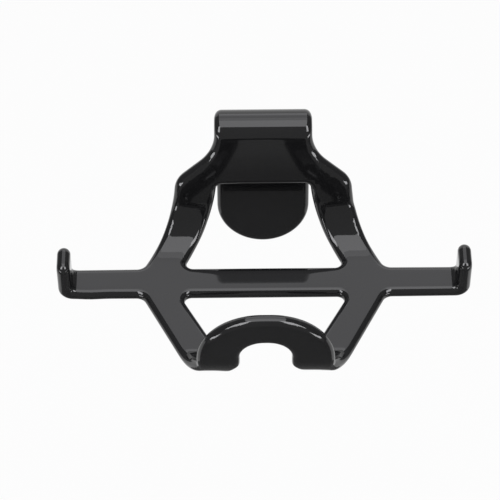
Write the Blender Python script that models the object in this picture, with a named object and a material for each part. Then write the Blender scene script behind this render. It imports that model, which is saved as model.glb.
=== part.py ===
"""Hook-on phone cradle: one bent steel blank inside a dipped vinyl coat.

The steel is cut flat, its two arm ends are folded up as side flanges, and the strip is then bent
into a hook, a neck, a sloping plate and a front lip. The finished bracket hangs in hot vinyl, so a
thick coat with round edges covers it all except the spot that the hanging wire touched.

Frame: metres, +Z up, front towards -Y. The origin is the seat of the hook, inside its top.
"""
import math

import bmesh
import bpy
from mathutils import Vector

MM = 0.001

# Sheet and coat
STEEL_THICKNESS = 3.0
STEEL_EDGE_ROUND = 0.5
COAT_WALL = 1.05
COAT_AT_EDGES = 1.3
CLEARANCE = 0.3
HANGER_MARK_DIAMETER = 2.2
HANGER_MARK_OFFSET = -13.0

# Hook, tongue and neck
SLOT_WIDTH = 5.4
HOOK_WIDTH = 41.8
TONGUE_WIDTH = 40.2
TONGUE_LENGTH = 64.5
NECK_LENGTH = 33.0
BRIDGE_DEPTH = 24.3

# Shoulders and upper struts
SHOULDER_WIDTH = 75.8
SHOULDER_START = 7.2
SHOULDER_ANGLE = 48.0
SHOULDER_COVE_RADIUS = 19.6
SHOULDER_CREST_RADIUS = 11.7
WAIST_ANGLE = 5.7
UPPER_STRUT_ANGLE = 27.5
STRUT_SWEEP_RADIUS = 74.0
WINDOW_TOP_WIDTH = 40.5
WINDOW_TOP_RADIUS = 3.0

# Sloping plate with its crossbar and arms
PLATE_BEND_ANGLE = 78.0
PLATE_BEND_RADIUS = 20.45
PLATE_LENGTH = 46.0
ARM_DROP = 9.7
CROSSBAR_WIDTH = 14.5
ARM_END_WIDTH = 13.9
HUB_WIDTH = 104.7
STRUT_WIDTH = 15.0
LOWER_STRUT_WIDTH = 14.4
ARM_ROOT_RADIUS = 4.6
WINDOW_CORNER_RADIUS = 3.0

# Side flanges
PHONE_SPAN = 165.5
FLANGE_HEIGHT = 16.5
FLANGE_BEND_RADIUS = 0.55
FLANGE_CORNER_RADIUS = 4.1

# Front lip: two legs joined by a round nose, with a notch between them
LIP_BEND_ANGLE = 92.0
LIP_BEND_RADIUS = 10.55
LIP_RISE = 25.7
LIP_WIDTH = 57.6
LIP_NOSE_RADIUS = 26.8
LIP_BAND = 15.0
NOTCH_WIDTH = 21.6
NOTCH_RADIUS = 10.0
LEG_START = 17.0
LEG_CORNER_RADIUS = 4.0

# Facets
SAME_POINT = 0.001
ARC_STEP = 13.0
ARC_TOLERANCE = 0.08
HOOK_STEP = 15.0
PLATE_BEND_STEP = 6.5
LIP_BEND_STEP = 11.25
FLANGE_STEP = 15.0
COAT_EDGE_RINGS = 2
STEEL_EDGE_RINGS = 0

# Sizes that follow from the ones above
COATED_THICKNESS = STEEL_THICKNESS + 2 * (CLEARANCE + COAT_WALL)
HALF = COATED_THICKNESS / 2
HOOK_MID = SLOT_WIDTH / 2 + HALF
PLATE_BEND_MID = PLATE_BEND_RADIUS + HALF
LIP_BEND_MID = LIP_BEND_RADIUS + HALF
FLANGE_MID = FLANGE_BEND_RADIUS + HALF

# Runs along the flat blank, from the line where the hook leaves the neck; the tongue is negative
TONGUE_RUN = -math.pi * HOOK_MID
TONGUE_TIP_RUN = TONGUE_RUN - TONGUE_LENGTH
PLATE_BEND_TURN = math.radians(PLATE_BEND_ANGLE)
PLATE_RUN = NECK_LENGTH + PLATE_BEND_MID * PLATE_BEND_TURN
LIP_BEND_RUN = PLATE_RUN + PLATE_LENGTH
LIP_BEND_TURN = math.radians(LIP_BEND_ANGLE)
LIP_RUN = LIP_BEND_RUN + LIP_BEND_MID * LIP_BEND_TURN
LIP_TIP_RUN = LIP_RUN + LIP_RISE
LEG_RUN = LIP_BEND_RUN + LEG_START
ARM_RUN = PLATE_RUN + ARM_DROP
CROSSBAR_TOP_RUN = ARM_RUN - CROSSBAR_WIDTH / 2
CROSSBAR_BOTTOM_RUN = ARM_RUN + CROSSBAR_WIDTH / 2

# Widths along the flat arms
FLANGE_FOLD = PHONE_SPAN / 2 - FLANGE_BEND_RADIUS
ARM_END = FLANGE_FOLD + FLANGE_MID * math.pi / 2 + FLANGE_HEIGHT + HALF - FLANGE_MID

# Plate and lip directions in the side view, as (y, z)
PLATE_DOWN = Vector((-math.sin(PLATE_BEND_TURN), -math.cos(PLATE_BEND_TURN)))
PLATE_OUT = Vector((-math.cos(PLATE_BEND_TURN), math.sin(PLATE_BEND_TURN)))


def clear_scene():
    for old in list(bpy.data.objects):
        bpy.data.objects.remove(old, do_unlink=True)


def new_collection(name):
    group = bpy.data.collections.new(name)
    bpy.context.scene.collection.children.link(group)
    return group


def principled(name, colour, roughness, metallic):
    material = bpy.data.materials.new(name)
    material.use_nodes = True
    shader = material.node_tree.nodes["Principled BSDF"]
    shader.inputs["Base Color"].default_value = (*colour, 1.0)
    shader.inputs["Roughness"].default_value = roughness
    shader.inputs["Metallic"].default_value = metallic
    return material


def rounded_outline(corners):
    """Points of a closed outline whose corners (across, run, radius) are rounded to arcs."""
    count = len(corners)
    places = [Vector(corner[:2]) for corner in corners]
    edges = [places[(i + 1) % count] - places[i] for i in range(count)]
    turns = [edges[i - 1].angle_signed(edges[i]) for i in range(count)]
    trims = [corners[i][2] * math.tan(abs(turns[i]) / 2) for i in range(count)]
    fits = [1.0] * count
    for i in range(count):
        following = (i + 1) % count
        wanted = trims[i] + trims[following]
        room = min(1.0, edges[i].length / wanted) if wanted > 0 else 1.0
        fits[i] = min(fits[i], room)
        fits[following] = min(fits[following], room)
    points = []
    for i in range(count):
        trim = trims[i] * fits[i]
        start = places[i] - edges[i - 1].normalized() * trim
        if trim == 0:
            points.append(start)
            continue
        radius = corners[i][2] * fits[i]
        heading = edges[i - 1].normalized()
        side = Vector((heading.y, -heading.x)) * math.copysign(1, turns[i])
        centre = start + side * radius
        facet = min(math.radians(ARC_STEP), 2 * math.acos(1 - ARC_TOLERANCE / max(radius, 1.0)))
        steps = max(2, math.ceil(abs(turns[i]) / facet))
        for step in range(steps + 1):
            angle = abs(turns[i]) * step / steps
            points.append(centre - side * radius * math.cos(angle) + heading * radius * math.sin(angle))
    return [point for i, point in enumerate(points) if (point - points[i - 1]).length > SAME_POINT]


def both_sides(half):
    """A half outline, listed down the right side, closed by its mirror image."""
    return half + [(-across, run, radius) for across, run, radius in reversed(half)]


def meeting(first, first_angle, second, second_angle):
    """Where two edges cross: each runs through a point, leaning outwards by an angle."""
    lean_1 = math.tan(math.radians(first_angle))
    lean_2 = math.tan(math.radians(second_angle))
    run = (second[0] - first[0] + lean_1 * first[1] - lean_2 * second[1]) / (lean_1 - lean_2)
    return first[0] + lean_1 * (run - first[1]), run


def blank_outline():
    hub = HUB_WIDTH / 2
    crest_run = SHOULDER_START + (SHOULDER_WIDTH - HOOK_WIDTH) / 2 / math.tan(math.radians(SHOULDER_ANGLE))
    crest = (SHOULDER_WIDTH / 2, crest_run)
    knee = meeting(crest, WAIST_ANGLE, (hub, CROSSBAR_TOP_RUN), UPPER_STRUT_ANGLE)
    return rounded_outline(both_sides([
        (TONGUE_WIDTH / 2, TONGUE_TIP_RUN, TONGUE_WIDTH / 2),
        (TONGUE_WIDTH / 2, TONGUE_RUN, 0),
        (HOOK_WIDTH / 2, TONGUE_RUN / 2, 0),
        (HOOK_WIDTH / 2, SHOULDER_START, SHOULDER_COVE_RADIUS),
        (*crest, SHOULDER_CREST_RADIUS),
        (*knee, STRUT_SWEEP_RADIUS),
        (hub, CROSSBAR_TOP_RUN, ARM_ROOT_RADIUS),
        (ARM_END, ARM_RUN - ARM_END_WIDTH / 2, FLANGE_CORNER_RADIUS),
        (ARM_END, ARM_RUN + ARM_END_WIDTH / 2, FLANGE_CORNER_RADIUS),
        (hub, CROSSBAR_BOTTOM_RUN, ARM_ROOT_RADIUS),
        (LIP_WIDTH / 2, LEG_RUN, LEG_CORNER_RADIUS),
        (LIP_WIDTH / 2, LIP_TIP_RUN, LIP_NOSE_RADIUS),
    ]))


def upper_window():
    foot = HUB_WIDTH / 2 - STRUT_WIDTH / math.cos(math.radians(UPPER_STRUT_ANGLE))
    top = (WINDOW_TOP_WIDTH / 2, BRIDGE_DEPTH)
    knee = meeting(top, WAIST_ANGLE, (foot, CROSSBAR_TOP_RUN), UPPER_STRUT_ANGLE)
    return rounded_outline(both_sides([
        (*top, WINDOW_TOP_RADIUS),
        (*knee, STRUT_SWEEP_RADIUS),
        (foot, CROSSBAR_TOP_RUN, WINDOW_CORNER_RADIUS),
    ]))


def lower_window():
    lean = math.atan2((HUB_WIDTH - LIP_WIDTH) / 2, LEG_RUN - CROSSBAR_BOTTOM_RUN)
    head = HUB_WIDTH / 2 - LOWER_STRUT_WIDTH / math.cos(lean)
    return rounded_outline(both_sides([
        (head, CROSSBAR_BOTTOM_RUN, WINDOW_CORNER_RADIUS),
        (NOTCH_WIDTH / 2, LEG_RUN, LEG_CORNER_RADIUS),
        (NOTCH_WIDTH / 2, LIP_TIP_RUN - LIP_BAND, NOTCH_RADIUS),
    ]))


def flat_sheet(name, inset, half_thickness, edge_round, rings):
    """The flat blank, drawn in by inset, as a filled 2D curve whose edges are rounded."""
    curve = bpy.data.curves.new(name, "CURVE")
    curve.dimensions = "2D"
    curve.fill_mode = "BOTH"
    curve.extrude = half_thickness - edge_round
    curve.bevel_depth = edge_round
    curve.bevel_resolution = rings
    curve.offset = -inset - edge_round
    loops = [blank_outline(), upper_window()[::-1], lower_window()[::-1]]
    for loop in loops:
        spline = curve.splines.new("POLY")
        spline.points.add(len(loop) - 1)
        for point, place in zip(spline.points, loop):
            point.co = (place.x, -place.y, 0, 1)
        spline.use_cyclic_u = True
    flat = bpy.data.objects.new(name, curve)
    bpy.context.scene.collection.objects.link(flat)
    evaluated = flat.evaluated_get(bpy.context.evaluated_depsgraph_get())
    mesh = bpy.data.meshes.new_from_object(evaluated)
    mesh.name = name
    bpy.data.objects.remove(flat)
    return mesh


def bend_lines():
    """Runs at which the sheet is creased so that its bends come out round."""
    zones = [
        (TONGUE_RUN, 0, math.pi, HOOK_STEP),
        (NECK_LENGTH, PLATE_RUN, PLATE_BEND_TURN, PLATE_BEND_STEP),
        (LIP_BEND_RUN, LIP_RUN, LIP_BEND_TURN, LIP_BEND_STEP),
    ]
    for start, end, turn, step in zones:
        count = math.ceil(math.degrees(turn) / step)
        for i in range(count + 1):
            yield start + (end - start) * i / count


def fold_lines():
    count = math.ceil(90 / FLANGE_STEP)
    for i in range(count + 1):
        yield FLANGE_FOLD + FLANGE_MID * math.pi / 2 * i / count


def folded(across, height):
    """Side flange: the arm's end turns up towards the front."""
    past = abs(across) - FLANGE_FOLD
    if past <= 0:
        return across, height
    turn = min(past / FLANGE_MID, math.pi / 2)
    rise = past - FLANGE_MID * turn
    outward = FLANGE_FOLD + (FLANGE_MID - height) * math.sin(turn)
    upward = FLANGE_MID - (FLANGE_MID - height) * math.cos(turn) + rise
    return math.copysign(outward, across), upward


def bent(run, height):
    """Side view (y, z) of a point of the strip, height being measured out of its front face."""
    if run <= TONGUE_RUN:
        return Vector((2 * HOOK_MID + height, run - TONGUE_RUN))
    if run <= 0:
        turn = -run / HOOK_MID
        radius = HOOK_MID + height
        return Vector((HOOK_MID - radius * math.cos(turn), radius * math.sin(turn)))
    if run <= NECK_LENGTH:
        return Vector((-height, -run))
    if run <= PLATE_RUN:
        turn = (run - NECK_LENGTH) / PLATE_BEND_MID
        radius = PLATE_BEND_MID - height
        return Vector((radius * math.cos(turn) - PLATE_BEND_MID, -NECK_LENGTH - radius * math.sin(turn)))
    plate = bent(PLATE_RUN, 0)
    if run <= LIP_BEND_RUN:
        return plate + PLATE_DOWN * (run - PLATE_RUN) + PLATE_OUT * height
    centre = plate + PLATE_DOWN * PLATE_LENGTH + PLATE_OUT * LIP_BEND_MID
    turn = min((run - LIP_BEND_RUN) / LIP_BEND_MID, LIP_BEND_TURN)
    spoke = PLATE_DOWN * math.sin(turn) - PLATE_OUT * math.cos(turn)
    onward = PLATE_DOWN * math.cos(turn) + PLATE_OUT * math.sin(turn)
    return centre + spoke * (LIP_BEND_MID - height) + onward * max(run - LIP_RUN, 0)


def in_place(across, run, height):
    """A point of the flat blank, carried to the finished part, in metres."""
    across, height = folded(across, height)
    y, z = bent(run, height)
    return Vector((across, y - HOOK_MID, z - SLOT_WIDTH / 2)) * MM


def bent_sheet(name, inset, half_thickness, edge_round, rings):
    """A flat sheet creased along its bend lines and bent to shape."""
    mesh = flat_sheet(name, inset, half_thickness, edge_round, rings)
    shape = bmesh.new()
    shape.from_mesh(mesh)
    bmesh.ops.remove_doubles(shape, verts=shape.verts, dist=SAME_POINT)
    bmesh.ops.dissolve_limit(shape, angle_limit=math.radians(0.5), verts=shape.verts, edges=shape.edges)
    for run in bend_lines():
        geometry = shape.verts[:] + shape.edges[:] + shape.faces[:]
        bmesh.ops.bisect_plane(shape, geom=geometry, dist=0.0001, plane_co=(0, -run, 0), plane_no=(0, 1, 0))
    for across in fold_lines():
        for side in (-1, 1):
            geometry = shape.verts[:] + shape.edges[:] + shape.faces[:]
            bmesh.ops.bisect_plane(
                shape, geom=geometry, dist=0.0001, plane_co=(side * across, 0, 0), plane_no=(1, 0, 0))
    bmesh.ops.triangulate(shape, faces=shape.faces)
    bmesh.ops.dissolve_degenerate(shape, dist=SAME_POINT, edges=shape.edges)
    bmesh.ops.triangulate(shape, faces=shape.faces)
    for vertex in shape.verts:
        vertex.co = in_place(vertex.co.x, -vertex.co.y, vertex.co.z)
    bmesh.ops.recalc_face_normals(shape, faces=shape.faces)
    shape.to_mesh(mesh)
    shape.free()
    mesh.shade_smooth()
    mesh.set_sharp_from_angle(angle=math.radians(40))
    return bpy.data.objects.new(name, mesh)


def hanger_mark():
    """Cutter for the bare spot, up through the coat on the lower edge of the neck."""
    reach = COAT_AT_EDGES + CLEARANCE / 2
    length = reach + COAT_WALL
    bpy.ops.mesh.primitive_cylinder_add(vertices=16, radius=HANGER_MARK_DIAMETER / 2 * MM, depth=length * MM)
    cutter = bpy.context.object
    cutter.name = "hanger_mark"
    cutter.location = in_place(HANGER_MARK_OFFSET, BRIDGE_DEPTH - reach + length / 2, 0)
    return cutter


def subtract(target, cutter):
    cut = target.modifiers.new(cutter.name, "BOOLEAN")
    cut.operation = "DIFFERENCE"
    cut.solver = "EXACT"
    cut.object = cutter


def as_cutter(cutter, group):
    for owner in cutter.users_collection:
        owner.objects.unlink(cutter)
    group.objects.link(cutter)
    cutter.hide_render = True
    cutter.display_type = "WIRE"


def build():
    clear_scene()
    parts = new_collection("phone_cradle")
    cutters = new_collection("cutters")

    core = bent_sheet(
        "steel_core", COAT_AT_EDGES + CLEARANCE, STEEL_THICKNESS / 2, STEEL_EDGE_ROUND, STEEL_EDGE_RINGS)
    core.data.materials.append(principled("bare_steel", (0.46, 0.46, 0.45), 0.38, 1.0))
    parts.objects.link(core)

    cavity = bent_sheet(
        "core_cavity", COAT_AT_EDGES, STEEL_THICKNESS / 2 + CLEARANCE, STEEL_EDGE_ROUND, STEEL_EDGE_RINGS)
    as_cutter(cavity, cutters)
    mark = hanger_mark()
    as_cutter(mark, cutters)

    coat = bent_sheet("vinyl_coating", 0, HALF, HALF, COAT_EDGE_RINGS)
    coat.data.materials.append(principled("black_vinyl", (0.012, 0.012, 0.013), 0.12, 0.0))
    parts.objects.link(coat)
    subtract(coat, cavity)
    subtract(coat, mark)


build()
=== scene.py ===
# %% [markdown]
# A phone cradle bent from one sheet and dipped in black vinyl
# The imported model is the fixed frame: it says where everything is and how large it is. This
# lesson dresses it. The steel inside keeps its CAD shape. The coat is made again with finer bends
# and edges, because its gloss shows every facet, and it gets the small sags that a dip leaves.

# %% Load the frame
import math

import bmesh
import bpy
from mathutils import Matrix, Vector


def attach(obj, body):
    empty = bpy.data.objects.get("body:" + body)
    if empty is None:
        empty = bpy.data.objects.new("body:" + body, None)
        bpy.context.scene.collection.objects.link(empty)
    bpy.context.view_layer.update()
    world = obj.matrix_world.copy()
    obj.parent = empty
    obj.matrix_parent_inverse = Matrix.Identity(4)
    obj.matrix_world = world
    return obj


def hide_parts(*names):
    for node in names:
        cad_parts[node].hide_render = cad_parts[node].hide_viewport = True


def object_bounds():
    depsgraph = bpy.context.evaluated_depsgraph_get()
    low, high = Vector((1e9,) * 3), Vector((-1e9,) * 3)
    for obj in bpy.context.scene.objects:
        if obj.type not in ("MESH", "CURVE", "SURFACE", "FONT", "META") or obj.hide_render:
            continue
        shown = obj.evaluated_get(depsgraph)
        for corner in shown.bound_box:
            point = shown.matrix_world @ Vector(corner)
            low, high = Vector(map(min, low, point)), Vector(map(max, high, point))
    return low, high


MM = 0.001
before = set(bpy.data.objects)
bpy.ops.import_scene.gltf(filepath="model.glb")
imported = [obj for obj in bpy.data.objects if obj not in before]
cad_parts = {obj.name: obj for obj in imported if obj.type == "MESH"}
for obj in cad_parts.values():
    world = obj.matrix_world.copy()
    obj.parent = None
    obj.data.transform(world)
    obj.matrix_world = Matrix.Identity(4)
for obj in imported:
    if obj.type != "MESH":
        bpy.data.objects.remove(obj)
cad_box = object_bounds()

# %% [markdown]
# Camera
# The photograph looks down on the cradle from the front with a long lens. A camera is its place,
# the way it looks and its lens. The height above the horizon, the small turn and the small roll
# were found by fitting the outline of the bends, and a long lens keeps the arms nearly parallel.

# %% Camera at the photograph's angle
CAMERA_RISE = math.radians(39.19)
CAMERA_TURN = math.radians(-0.339)
CAMERA_ROLL = math.radians(-0.3)
CAMERA_PLACE = Vector((-10.9, -855.5, 628.1)) * MM
CAMERA_REACH = 20.0
LENS = 178.9
SENSOR_WIDTH = 36.0


def add_object(name, data):
    made = bpy.data.objects.new(name, data)
    bpy.context.scene.collection.objects.link(made)
    return made


look = bpy.data.cameras.new("photo_camera")
look.lens = LENS
look.sensor_width = SENSOR_WIDTH
look.clip_end = CAMERA_REACH
camera = add_object("photo_camera", look)
tilt = Matrix.Rotation(math.pi / 2 - CAMERA_RISE, 4, "X")
turn = Matrix.Rotation(CAMERA_TURN, 4, "Z")
roll = Matrix.Rotation(CAMERA_ROLL, 4, "Z")
camera.matrix_world = Matrix.Translation(CAMERA_PLACE) @ turn @ tilt @ roll
bpy.context.scene.camera = camera
print("camera", [round(value, 3) for value in camera.location])

# %% [markdown]
# The flat blank
# The real cradle starts as a flat cut sheet: a tongue, a hook strip, sloping shoulders, two struts
# that spread to a crossbar with arms, and a V that closes in a round nose. Drawing it flat keeps
# the outline simple: straight edges and corner radii. The sizes are those of the CAD part, in
# millimetres. A place on the blank is (across, run), with the run measured down from the line
# where the hook leaves the neck.

# %% Sizes of the coated blank
THICKNESS = 5.7
HALF = THICKNESS / 2
SLOT_WIDTH = 5.4
HOOK_WIDTH = 41.8
TONGUE_WIDTH = 40.2
TONGUE_LENGTH = 64.5
NECK_LENGTH = 33.0
BRIDGE_DEPTH = 24.3
SHOULDER_WIDTH = 75.8
SHOULDER_START = 7.2
SHOULDER_ANGLE = math.radians(48.0)
SHOULDER_COVE_RADIUS = 19.6
SHOULDER_CREST_RADIUS = 11.7
WAIST_ANGLE = math.radians(5.7)
STRUT_ANGLE = math.radians(27.5)
STRUT_SWEEP_RADIUS = 74.0
WINDOW_TOP_WIDTH = 40.5
WINDOW_TOP_RADIUS = 3.0
PLATE_BEND_TURN = math.radians(78.0)
PLATE_BEND_RADIUS = 20.45
PLATE_LENGTH = 46.0
ARM_DROP = 9.7
CROSSBAR_WIDTH = 14.5
ARM_END_WIDTH = 13.9
HUB_WIDTH = 104.7
STRUT_WIDTH = 15.0
LOWER_STRUT_WIDTH = 14.4
ARM_ROOT_RADIUS = 4.6
WINDOW_CORNER_RADIUS = 3.0
PHONE_SPAN = 165.5
FLANGE_HEIGHT = 16.5
FLANGE_BEND_RADIUS = 0.55
FLANGE_CORNER_RADIUS = 4.1
LIP_BEND_TURN = math.radians(92.0)
LIP_BEND_RADIUS = 10.55
LIP_RISE = 25.7
LIP_WIDTH = 57.6
LIP_NOSE_RADIUS = 26.8
LIP_BAND = 15.0
NOTCH_WIDTH = 21.6
NOTCH_RADIUS = 10.0
LEG_START = 17.0
LEG_CORNER_RADIUS = 4.0

HOOK_MID = SLOT_WIDTH / 2 + HALF
PLATE_BEND_MID = PLATE_BEND_RADIUS + HALF
LIP_BEND_MID = LIP_BEND_RADIUS + HALF
FLANGE_MID = FLANGE_BEND_RADIUS + HALF
TONGUE_RUN = -math.pi * HOOK_MID
TONGUE_TIP_RUN = TONGUE_RUN - TONGUE_LENGTH
PLATE_RUN = NECK_LENGTH + PLATE_BEND_MID * PLATE_BEND_TURN
LIP_BEND_RUN = PLATE_RUN + PLATE_LENGTH
LIP_RUN = LIP_BEND_RUN + LIP_BEND_MID * LIP_BEND_TURN
LIP_TIP_RUN = LIP_RUN + LIP_RISE
LEG_RUN = LIP_BEND_RUN + LEG_START
ARM_RUN = PLATE_RUN + ARM_DROP
CROSSBAR_TOP_RUN = ARM_RUN - CROSSBAR_WIDTH / 2
CROSSBAR_BOTTOM_RUN = ARM_RUN + CROSSBAR_WIDTH / 2
FLANGE_FOLD = PHONE_SPAN / 2 - FLANGE_BEND_RADIUS
ARM_END = FLANGE_FOLD + FLANGE_MID * math.pi / 2 + FLANGE_HEIGHT + HALF - FLANGE_MID
print("flat blank", round(LIP_TIP_RUN - TONGUE_TIP_RUN, 1), "mm long")
print("flat blank", round(2 * ARM_END, 1), "mm wide")

# %% [markdown]
# Rounded corners
# Every corner of the blank is an arc between two straight edges. An outline listed as corners with
# radii can be rounded by one function: it trims both edges by the same length and turns an arc
# between. An arc gets enough steps to keep each straight piece within a small slack of the curve.

# %% Outline from corners
ARC_SLACK = 0.006
ARC_STEP = math.radians(6.0)
SAME_POINT = 0.001


def rounded_outline(corners):
    count = len(corners)
    places = [Vector(corner[:2]) for corner in corners]
    edges = [places[(i + 1) % count] - places[i] for i in range(count)]
    turns = [edges[i - 1].angle_signed(edges[i]) for i in range(count)]
    trims = [corners[i][2] * math.tan(abs(turns[i]) / 2) for i in range(count)]
    points = []
    for i in range(count):
        heading = edges[i - 1].normalized()
        start = places[i] - heading * trims[i]
        radius = corners[i][2]
        if radius == 0:
            points.append(start)
            continue
        side = Vector((heading.y, -heading.x)) * math.copysign(1, turns[i])
        facet = min(ARC_STEP, 2 * math.acos(1 - ARC_SLACK / radius))
        steps = math.ceil(abs(turns[i]) / facet)
        for step in range(steps + 1):
            angle = abs(turns[i]) * step / steps
            inward = side * radius * (1 - math.cos(angle))
            points.append(start + inward + heading * radius * math.sin(angle))
    return [
        point for i, point in enumerate(points)
        if (point - points[i - 1]).length > SAME_POINT]


print("arcs keep within", ARC_SLACK, "mm")

# %% [markdown]
# Outlines of the blank
# The outer edge and the two windows are listed for one half, from the top down, and mirrored.
# Where two sloping edges meet is worked out, so a changed width or angle takes its corner along.

# %% The three outlines of the blank
hub = HUB_WIDTH / 2


def both_sides(half):
    return half + [(-across, run, radius) for across, run, radius in reversed(half)]


def meeting(first, first_angle, second, second_angle):
    lean_1, lean_2 = math.tan(first_angle), math.tan(second_angle)
    run = (second[0] - first[0] + lean_1 * first[1] - lean_2 * second[1]) / (lean_1 - lean_2)
    return first[0] + lean_1 * (run - first[1]), run


shoulder_drop = (SHOULDER_WIDTH - HOOK_WIDTH) / 2 / math.tan(SHOULDER_ANGLE)
crest = (SHOULDER_WIDTH / 2, SHOULDER_START + shoulder_drop)
outer_knee = meeting(crest, WAIST_ANGLE, (hub, CROSSBAR_TOP_RUN), STRUT_ANGLE)
blank_edge = rounded_outline(both_sides([
    (TONGUE_WIDTH / 2, TONGUE_TIP_RUN, TONGUE_WIDTH / 2),
    (TONGUE_WIDTH / 2, TONGUE_RUN, 0),
    (HOOK_WIDTH / 2, TONGUE_RUN / 2, 0),
    (HOOK_WIDTH / 2, SHOULDER_START, SHOULDER_COVE_RADIUS),
    (*crest, SHOULDER_CREST_RADIUS),
    (*outer_knee, STRUT_SWEEP_RADIUS),
    (hub, CROSSBAR_TOP_RUN, ARM_ROOT_RADIUS),
    (ARM_END, ARM_RUN - ARM_END_WIDTH / 2, FLANGE_CORNER_RADIUS),
    (ARM_END, ARM_RUN + ARM_END_WIDTH / 2, FLANGE_CORNER_RADIUS),
    (hub, CROSSBAR_BOTTOM_RUN, ARM_ROOT_RADIUS),
    (LIP_WIDTH / 2, LEG_RUN, LEG_CORNER_RADIUS),
    (LIP_WIDTH / 2, LIP_TIP_RUN, LIP_NOSE_RADIUS),
]))

foot = hub - STRUT_WIDTH / math.cos(STRUT_ANGLE)
window_top = (WINDOW_TOP_WIDTH / 2, BRIDGE_DEPTH)
inner_knee = meeting(window_top, WAIST_ANGLE, (foot, CROSSBAR_TOP_RUN), STRUT_ANGLE)
upper_window = rounded_outline(both_sides([
    (*window_top, WINDOW_TOP_RADIUS),
    (*inner_knee, STRUT_SWEEP_RADIUS),
    (foot, CROSSBAR_TOP_RUN, WINDOW_CORNER_RADIUS),
]))

lower_lean = math.atan2(hub - LIP_WIDTH / 2, LEG_RUN - CROSSBAR_BOTTOM_RUN)
head = hub - LOWER_STRUT_WIDTH / math.cos(lower_lean)
lower_window = rounded_outline(both_sides([
    (head, CROSSBAR_BOTTOM_RUN, WINDOW_CORNER_RADIUS),
    (NOTCH_WIDTH / 2, LEG_RUN, LEG_CORNER_RADIUS),
    (NOTCH_WIDTH / 2, LIP_TIP_RUN - LIP_BAND, NOTCH_RADIUS),
]))
print("outline points", len(blank_edge), len(upper_window), len(lower_window))

# %% [markdown]
# The coat, still flat
# A dip coat wraps the cut edge in a full round. A filled 2D curve with a bevel as deep as half the
# thickness gives just that: flat faces with a half-circle edge, round the windows too. The curve
# is made a mesh at once, because only a mesh can be cut and bent.

# %% Flat coat with round edges
EDGE_RINGS = 6


def finished_mesh(made):
    evaluated = made.evaluated_get(bpy.context.evaluated_depsgraph_get())
    return bpy.data.meshes.new_from_object(evaluated)


def flat_coat():
    drawing = bpy.data.curves.new("flat_coat", "CURVE")
    drawing.dimensions = "2D"
    drawing.fill_mode = "BOTH"
    drawing.bevel_depth = HALF
    drawing.bevel_resolution = EDGE_RINGS
    drawing.offset = -HALF
    for loop in (blank_edge, upper_window[::-1], lower_window[::-1]):
        spline = drawing.splines.new("POLY")
        spline.points.add(len(loop) - 1)
        for point, place in zip(spline.points, loop):
            point.co = (place.x, -place.y, 0, 1)
        spline.use_cyclic_u = True
    holder = add_object("flat_coat", drawing)
    mesh = finished_mesh(holder)
    bpy.data.objects.remove(holder)
    return mesh


coat_mesh = flat_coat()
coat_shape = bmesh.new()
coat_shape.from_mesh(coat_mesh)
bmesh.ops.remove_doubles(coat_shape, verts=coat_shape.verts, dist=SAME_POINT)
print("flat coat", len(coat_shape.verts), "points")

# %% [markdown]
# Cut lines
# A face bends only where it has edges to bend at. The long triangles that filled the curve are
# dissolved first, listed in the mesh's own order so that every run gives the same mesh. The sheet
# is then cut: close together where a bend or a pool of vinyl will be, and in a plain grid
# elsewhere, so that the faces can carry the soft swell of the coat.

# %% Cut the flat coat
FLAT_NORMAL = 0.999
FLAT_ANGLE = 0.01
CUT_TOLERANCE = 0.0001
GRID_STEP = 2.5
BEND_STEP = math.radians(3.0)
CORNER_POOL_RADIUS = 3.0
POOL_STEP = 0.3


def spread(start, end, step):
    count = max(1, math.ceil(abs(end - start) / step))
    return [start + (end - start) * i / count for i in range(count + 1)]


def cut_lines():
    runs = spread(TONGUE_TIP_RUN, TONGUE_RUN, GRID_STEP)
    runs += spread(TONGUE_RUN, 0, HOOK_MID * BEND_STEP)
    runs += spread(0, NECK_LENGTH, GRID_STEP)
    runs += spread(NECK_LENGTH, PLATE_RUN, PLATE_BEND_MID * BEND_STEP)
    runs += spread(PLATE_RUN, LIP_BEND_RUN, GRID_STEP)
    runs += spread(LIP_BEND_RUN, LIP_RUN, LIP_BEND_MID * BEND_STEP)
    runs += spread(LIP_RUN, LIP_TIP_RUN, GRID_STEP)
    fold_end = FLANGE_FOLD + FLANGE_MID * math.pi / 2
    pool_start, pool_end = FLANGE_FOLD - CORNER_POOL_RADIUS, fold_end + CORNER_POOL_RADIUS
    half = spread(0, pool_start, GRID_STEP) + spread(pool_start, FLANGE_FOLD, POOL_STEP)
    half += spread(FLANGE_FOLD, fold_end, FLANGE_MID * BEND_STEP)
    half += spread(fold_end, pool_end, POOL_STEP) + spread(pool_end, ARM_END, GRID_STEP)
    return sorted(set(runs)), sorted(set(half + [-across for across in half]))


def cut_along(shape, place, normal):
    everything = shape.verts[:] + shape.edges[:] + shape.faces[:]
    bmesh.ops.bisect_plane(
        shape, geom=everything, dist=CUT_TOLERANCE, plane_co=place, plane_no=normal)


flat_edges = [
    edge for edge in coat_shape.edges
    if any(abs(face.normal.z) > FLAT_NORMAL for face in edge.link_faces)]
bmesh.ops.dissolve_limit(coat_shape, angle_limit=FLAT_ANGLE, verts=[], edges=flat_edges)
run_lines, across_lines = cut_lines()
for run in run_lines:
    cut_along(coat_shape, (0, -run, 0), (0, 1, 0))
for across in across_lines:
    cut_along(coat_shape, (across, 0, 0), (1, 0, 0))
print("cut coat", len(coat_shape.verts), "points,", len(coat_shape.faces), "faces")

# %% [markdown]
# Sags of the dip
# Wet vinyl runs before it sets. It hangs in small drops at the lowest corners of the lip, swells
# under one arm and under the neck, and leaves a slight kink on a strut. Each sag is a place on the
# blank, a push (across, run and height) and a reach. A push in height moves only the back face,
# where the drop hangs.

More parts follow.
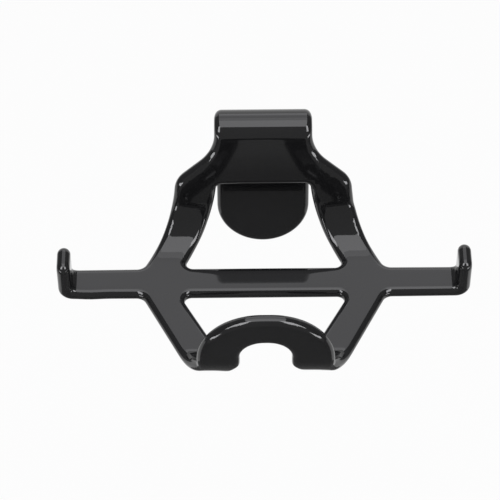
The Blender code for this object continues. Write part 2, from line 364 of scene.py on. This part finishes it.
# %% Sags
SAGS = (
    ((-13.0, 123.0), (0.0, 0.0, -0.25), 3.0),
    ((-17.0, 123.0), (0.0, 0.0, -0.2), 3.0),
    ((27.5, 122.0), (0.0, 0.0, -0.3), 4.0),
    ((-75.0, 81.4), (0.0, 0.35, 0.0), 5.0),
    ((37.5, 36.0), (-0.4, 0.0, 0.0), 2.5),
    ((-17.0, 24.3), (0.0, 0.25, 0.0), 5.0),
)


def sagged(across, run, height):
    moved = Vector((across, run, height))
    for place, push, reach in SAGS:
        gap = math.dist((across, run), place)
        hang = max(0.0, -height / HALF) if push[2] else 1.0
        moved += Vector(push) * hang * math.exp(-((gap / reach) ** 2))
    return moved


print("sags", len(SAGS))

# %% [markdown]
# Folding the flanges
# Bending a sheet keeps lengths along its middle and turns everything else round the bend's centre.
# The arm ends fold up in that way as flanges. In the sharp corner inside each flange wet vinyl
# collects, so the inner face is pushed out there to a round pool.

# %% Fold and pool
def folded(across, height):
    past = abs(across) - FLANGE_FOLD
    if past <= 0:
        return across, height
    turned = min(past / FLANGE_MID, math.pi / 2)
    outward = FLANGE_FOLD + (FLANGE_MID - height) * math.sin(turned)
    upward = FLANGE_MID - (FLANGE_MID - height) * math.cos(turned) + past - FLANGE_MID * turned
    return math.copysign(outward, across), upward


def pooled(across, upward, height):
    middle = Vector((PHONE_SPAN / 2 - CORNER_POOL_RADIUS, HALF + CORNER_POOL_RADIUS))
    spoke = Vector((abs(across), upward)) - middle
    radius = CORNER_POOL_RADIUS + HALF - height
    if height <= 0 or spoke.x <= 0 or spoke.y >= 0 or spoke.length <= radius:
        return across, upward
    filled = spoke.lerp(spoke.normalized() * radius, height / HALF) + middle
    return math.copysign(filled.x, across), filled.y


print("flange top", [round(value, 2) for value in folded(ARM_END, 0)])

# %% [markdown]
# Bending the strip
# The strip follows its side view of tongue, hook, neck, bend, plate, bend and lip. Seen from the
# side, each stretch is a straight line or an arc, so the function finds the stretch that a run
# falls in and goes along it. Every point of the flat coat is then sagged, folded and bent.

# %% Bend the strip
PLATE_DOWN = Vector((-math.sin(PLATE_BEND_TURN), -math.cos(PLATE_BEND_TURN)))
PLATE_OUT = Vector((-math.cos(PLATE_BEND_TURN), math.sin(PLATE_BEND_TURN)))
PLATE_START = Vector((
    PLATE_BEND_MID * (math.cos(PLATE_BEND_TURN) - 1),
    -NECK_LENGTH - PLATE_BEND_MID * math.sin(PLATE_BEND_TURN)))


def side_view(run, height):
    if run <= TONGUE_RUN:
        return Vector((2 * HOOK_MID + height, run - TONGUE_RUN))
    if run <= 0:
        turned = -run / HOOK_MID
        radius = HOOK_MID + height
        return Vector((HOOK_MID - radius * math.cos(turned), radius * math.sin(turned)))
    if run <= NECK_LENGTH:
        return Vector((-height, -run))
    if run <= PLATE_RUN:
        turned = (run - NECK_LENGTH) / PLATE_BEND_MID
        radius = PLATE_BEND_MID - height
        return Vector((
            radius * math.cos(turned) - PLATE_BEND_MID,
            -NECK_LENGTH - radius * math.sin(turned)))
    if run <= LIP_BEND_RUN:
        return PLATE_START + PLATE_DOWN * (run - PLATE_RUN) + PLATE_OUT * height
    centre = PLATE_START + PLATE_DOWN * PLATE_LENGTH + PLATE_OUT * LIP_BEND_MID
    turned = min((run - LIP_BEND_RUN) / LIP_BEND_MID, LIP_BEND_TURN)
    spoke = PLATE_DOWN * math.sin(turned) - PLATE_OUT * math.cos(turned)
    onward = PLATE_DOWN * math.cos(turned) + PLATE_OUT * math.sin(turned)
    return centre + spoke * (LIP_BEND_MID - height) + onward * max(run - LIP_RUN, 0)


def in_place(across, run, height):
    across, upward = pooled(*folded(across, height), height)
    y, z = side_view(run, upward)
    return Vector((across, y - HOOK_MID, z - SLOT_WIDTH / 2)) * MM


for vertex in coat_shape.verts:
    vertex.co = in_place(*sagged(vertex.co.x, -vertex.co.y, vertex.co.z))
bmesh.ops.recalc_face_normals(coat_shape, faces=coat_shape.faces)
coat_shape.to_mesh(coat_mesh)
coat_shape.free()
coat_mesh.shade_smooth()
vinyl_coat = add_object("dipped_vinyl_coat", coat_mesh)
print("bent coat", len(coat_mesh.vertices), "points")

# %% [markdown]
# Hanger mark
# The cradle hung on a wire while the coat set, and the wire left a small round hole in the lower
# edge of the neck. The coat is modelled as a solid here, so the hole is a short bore with steel at
# its end. A cylinder is cut away with a Boolean modifier, which is then made part of the mesh.

# %% Bore of the hanger mark
HANGER_MARK_DIAMETER = 2.2
HANGER_MARK_OFFSET = -13.0
STEEL_BELOW_EDGE = 1.6
BORE_OVERRUN = 0.3
BORE_DEPTH = STEEL_BELOW_EDGE + BORE_OVERRUN
BORE_SIDES = 32

bore = bmesh.new()
bore_radius = HANGER_MARK_DIAMETER / 2 * MM
bmesh.ops.create_cone(
    bore, cap_ends=True, segments=BORE_SIDES, radius1=bore_radius, radius2=bore_radius,
    depth=2 * BORE_DEPTH * MM)
bore_place = in_place(HANGER_MARK_OFFSET, BRIDGE_DEPTH, 0)
bmesh.ops.translate(bore, verts=bore.verts, vec=bore_place)
bore_mesh = bpy.data.meshes.new("hanger_bore")
bore.to_mesh(bore_mesh)
bore.free()
bore_cutter = add_object("hanger_bore", bore_mesh)
cut = vinyl_coat.modifiers.new("hanger_bore", "BOOLEAN")
cut.object = bore_cutter
cut.solver = "EXACT"
coat_mesh = finished_mesh(vinyl_coat)
vinyl_coat.modifiers.clear()
vinyl_coat.data = coat_mesh
bpy.data.objects.remove(bore_cutter)
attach(vinyl_coat, "root")
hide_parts("vinyl_coating")
print("coat with its bore", len(coat_mesh.vertices), "points")

# %% [markdown]
# Writing materials as sums
# A material is a graph of nodes. Wrapping a socket in a small class lets the graph be written as
# plain arithmetic: each operator adds one Math node and returns its output. One method makes every
# other node, from its type, its settings and the values or links of its sockets.

# %% Sockets that can be added and multiplied
class Socket:
    def __init__(self, tree, link):
        self.tree = tree
        self.link = link

    def math(self, operation, first, second):
        settings = {"operation": operation}
        return self.tree.node("ShaderNodeMath", settings, {0: first, 1: second})["Value"]

    def __add__(self, other):
        return self.math("ADD", self, other)

    def __radd__(self, other):
        return self.math("ADD", other, self)

    def __mul__(self, other):
        return self.math("MULTIPLY", self, other)

    def __rmul__(self, other):
        return self.math("MULTIPLY", other, self)


class Finish:
    def __init__(self, owner):
        owner.use_nodes = True
        self.nodes = owner.node_tree.nodes
        self.links = owner.node_tree.links
        self.nodes.clear()

    def node(self, kind, settings=None, values=None):
        made = self.nodes.new(kind)
        for name, setting in (settings or {}).items():
            setattr(made, name, setting)
        for name, value in (values or {}).items():
            if isinstance(value, Socket):
                self.links.new(value.link, made.inputs[name])
            else:
                made.inputs[name].default_value = value
        return {
            output.name: Socket(self, output) for output in made.outputs if output.enabled}


print("materials are written with", Socket.__name__, "and", Finish.__name__)

# %% [markdown]
# Glossy black vinyl
# The coat is black plastisol with a wet-looking skin. It isn't quite flat: the dip leaves a slow
# swell and a finer orange peel, which only the reflections show. Where the skin has dulled, the
# black turns a little paler and the gloss a little softer. A Mix node has inputs of the same name
# for numbers and for colours, so its two colours are given by their number.

# %% Vinyl
MIX_FIRST_COLOUR = 6
MIX_SECOND_COLOUR = 7
DEEP_BLACK = (0.0085, 0.0085, 0.009, 1.0)
DULLED_BLACK = (0.0145, 0.0145, 0.0155, 1.0)
SKIN_ROUGHNESS = 0.03
SKIN_DULLING = 0.04
SKIN_RELIEF = {"Strength": 0.5, "Distance": 0.00005}
PEEL_SHARE = 0.06
VINYL_IOR = 1.5


def noise(tree, place, scale, detail):
    values = {"Vector": place, "Scale": scale, "Detail": detail}
    return tree.node("ShaderNodeTexNoise", {}, values)["Fac"]


def black_vinyl():
    material = bpy.data.materials.new("black_dip_vinyl")
    tree = Finish(material)
    place = tree.node("ShaderNodeTexCoord")["Object"]
    swell = noise(tree, place, scale=55.0, detail=1.0)
    peel = noise(tree, place, scale=420.0, detail=2.0)
    haze = noise(tree, place, scale=30.0, detail=4.0)
    relief = {"Height": swell + peel * PEEL_SHARE, **SKIN_RELIEF}
    black = tree.node("ShaderNodeMix", {"data_type": "RGBA"}, {
        "Factor": haze, MIX_FIRST_COLOUR: DEEP_BLACK, MIX_SECOND_COLOUR: DULLED_BLACK})["Result"]
    skin = tree.node("ShaderNodeBsdfPrincipled", {}, {
        "Base Color": black,
        "Roughness": SKIN_ROUGHNESS + haze * SKIN_DULLING,
        "IOR": VINYL_IOR,
        "Normal": tree.node("ShaderNodeBump", {}, relief)["Normal"],
    })["BSDF"]
    tree.node("ShaderNodeOutputMaterial", {}, {"Surface": skin})
    return material


coat_mesh.materials.clear()
coat_mesh.materials.append(black_vinyl())
print("coat", [material.name for material in coat_mesh.materials])

# %% [markdown]
# Bare steel
# The sheet shows only at the end of the hanger mark. Cut steel is a plain grey metal, and a fine
# grain makes its roughness vary.

# %% Steel
STEEL_GREY = (0.46, 0.46, 0.45, 1.0)
STEEL_ROUGHNESS = 0.3
GRAIN_ROUGHNESS = 0.2


def bare_steel():
    material = bpy.data.materials.new("bare_cut_steel")
    tree = Finish(material)
    place = tree.node("ShaderNodeTexCoord")["Object"]
    grain = noise(tree, place, scale=900.0, detail=3.0)
    metal = tree.node("ShaderNodeBsdfPrincipled", {}, {
        "Base Color": STEEL_GREY,
        "Metallic": 1.0,
        "Roughness": STEEL_ROUGHNESS + grain * GRAIN_ROUGHNESS,
    })["BSDF"]
    tree.node("ShaderNodeOutputMaterial", {}, {"Surface": metal})
    return material


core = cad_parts["steel_core"]
core.data.materials.clear()
core.data.materials.append(bare_steel())
print("core", [material.name for material in core.data.materials])

# %% [markdown]
# Floor
# The cradle is shown on white. The floor is a plain pale sheet. Seen by the camera or in a
# reflection it glows white, apart from a small share that stays matt paint and so keeps a trace of
# the cradle's shadow. All other light meets only the paint. Lengths are in metres from here on.

# %% Floor
FLOOR_DROP = 0.26
FLOOR_SIZE = (12.0, 12.0)
FLOOR_PAINT = (0.9, 0.9, 0.9, 1.0)
FLOOR_GLOW = 0.92
PURE_WHITE = (1.0, 1.0, 1.0, 1.0)
FACING_UP = Matrix.Identity(4)


def seen_directly(tree):
    path = tree.node("ShaderNodeLightPath")
    direct = path["Is Camera Ray"] + path["Is Glossy Ray"] + path["Is Transmission Ray"]
    return tree.node("ShaderNodeClamp", {}, {"Value": direct})["Result"]


def emission(tree, colour, strength):
    values = {"Color": colour, "Strength": strength}
    return tree.node("ShaderNodeEmission", {}, values)["Emission"]


def pale_floor():
    material = bpy.data.materials.new("pale_floor")
    tree = Finish(material)
    matt = tree.node("ShaderNodeBsdfDiffuse", {}, {"Color": FLOOR_PAINT})["BSDF"]
    white = emission(tree, PURE_WHITE, 1.0)
    share = seen_directly(tree) * FLOOR_GLOW
    mixed = tree.node("ShaderNodeMixShader", {}, {0: share, 1: matt, 2: white})["Shader"]
    tree.node("ShaderNodeOutputMaterial", {}, {"Surface": mixed})
    return material


def panel(name, place, size, facing, material):
    sheet = bmesh.new()
    sides = Matrix.Diagonal((*size, 1.0, 1.0))
    bmesh.ops.create_grid(sheet, x_segments=1, y_segments=1, size=0.5, matrix=sides)
    bmesh.ops.transform(sheet, matrix=Matrix.Translation(place) @ facing, verts=sheet.verts)
    mesh = bpy.data.meshes.new(name)
    sheet.to_mesh(mesh)
    sheet.free()
    mesh.materials.append(material)
    made = add_object(name, mesh)
    return made


floor_level = cad_box[0][2] - FLOOR_DROP
panel("floor", (0, 0, floor_level), FLOOR_SIZE, FACING_UP, pale_floor())
print("floor at", round(floor_level, 3))

# %% [markdown]
# Dark cards
# Black gloss is drawn by what it reflects. Dark cards in front, at the sides, above and on the
# floor give the near-black neck, tongue and rims. The floor card is lighter further off, so the
# neck fades downwards. The cards are there for reflections only, so they never block another view
# and take no light away.

# %% Dark cards
FACING_DOWN = Matrix.Rotation(math.pi, 4, "X")
FACING_FRONT = Matrix.Rotation(math.pi / 2, 4, "X")
FACING_SIDE = Matrix.Rotation(math.pi / 2, 4, "Y")
DARK_CARDS = (
    ("front", (0, -1.05, 0.28), (2.7, 1.75), FACING_FRONT, 0.36),
    ("left", (-1.35, 0.125, 0.28), (1.75, 2.35), FACING_SIDE, 0.2),
    ("right", (1.35, 0.125, 0.28), (1.75, 2.35), FACING_SIDE, 0.2),
    ("above", (0, 0.125, 1.17), (2.7, 2.35), FACING_DOWN, 0.2),
)
FLOOR_CARD_BANDS = (
    ("far", 3.0, -1.07, -0.426, 0.36),
    ("middle", 3.0, -0.426, -0.414, 0.28),
    ("near", 3.0, -0.414, -0.17, 0.21),
    ("under", 0.5, -0.17, 0.05, 0.22),
)
FLOOR_CARD_LIFT = 0.005


def glow(name, colour, strength):
    material = bpy.data.materials.new(name)
    tree = Finish(material)
    tree.node("ShaderNodeOutputMaterial", {}, {"Surface": emission(tree, colour, strength)})
    return material


def for_reflections_only(card):
    card.visible_camera = False
    card.visible_diffuse = False
    card.visible_shadow = False
    card.visible_transmission = False


for side, place, size, facing, strength in DARK_CARDS:
    name = f"dark_card_{side}"
    for_reflections_only(panel(name, place, size, facing, glow(name, PURE_WHITE, strength)))
for band, width, start, end, strength in FLOOR_CARD_BANDS:
    name = f"floor_card_{band}"
    place = (0, (start + end) / 2, floor_level + FLOOR_CARD_LIFT)
    size = (width, end - start)
    for_reflections_only(panel(name, place, size, FACING_UP, glow(name, PURE_WHITE, strength)))
print("dark cards", len(DARK_CARDS), "and on the floor", len(FLOOR_CARD_BANDS))

# %% [markdown]
# Lamps
# A long softbox overhead lights the cradle and gives the grey faces: bright in front, where the
# bends see it, and softer behind, where the plate does. A low and a tall lamp at each side draw
# the thin lines along the round edges. They are there for reflections only, too, and the low one
# stays below the line at which the plate would mirror it to a viewer behind.

# %% Softbox and side lamps
SOFTBOX_HEIGHT = 1.15
SOFTBOX_WIDTH = 1.1
SOFTBOX_BANDS = (
    ("front", -1.03, -0.06, 2.95),
    ("top", -0.06, 0.28, 2.05),
    ("back", 0.28, 0.75, 1.52),
    ("rear", 0.75, 1.3, 2.1),
)
SIDE_LAMPS = (
    ("low", (0.87, -0.62, -0.25), (0.9, 0.16)),
    ("tall", (0.5, -0.62, 0.52), (0.5, 0.66)),
)
SIDE_LAMP_STRENGTH = 8.0
COOL_WHITE = (0.975, 0.975, 1.0, 1.0)

for band, start, end, strength in SOFTBOX_BANDS:
    name = f"softbox_{band}"
    place = (0, (start + end) / 2, SOFTBOX_HEIGHT)
    size = (SOFTBOX_WIDTH, end - start)
    lamp = panel(name, place, size, FACING_DOWN, glow(name, COOL_WHITE, strength))
    lamp.visible_camera = False

for level, (across, forward, height), size in SIDE_LAMPS:
    for side, sign in (("left", -1), ("right", 1)):
        name = f"{level}_lamp_{side}"
        place = (sign * across, forward, height)
        glowing = glow(name, COOL_WHITE, SIDE_LAMP_STRENGTH)
        for_reflections_only(panel(name, place, size, FACING_FRONT, glowing))
print("softbox bands", len(SOFTBOX_BANDS), "and side lamps", 2 * len(SIDE_LAMPS))

# %% [markdown]
# Room
# The room is white to the camera and in reflections, as the floor is, and lights the cradle only
# softly. Standard is the view transform that shows a colour as it was written.

# %% White room
ROOM_LIGHT = 0.35

world = bpy.data.worlds.new("white_studio")
bpy.context.scene.world = world
room = Finish(world)
strength = ROOM_LIGHT + seen_directly(room) * (1 - ROOM_LIGHT)
backdrop = room.node(
    "ShaderNodeBackground", {}, {"Color": PURE_WHITE, "Strength": strength})["Background"]
room.node("ShaderNodeOutputWorld", {}, {"Surface": backdrop})
bpy.context.scene.view_settings.view_transform = "Standard"
print("room light", ROOM_LIGHT)
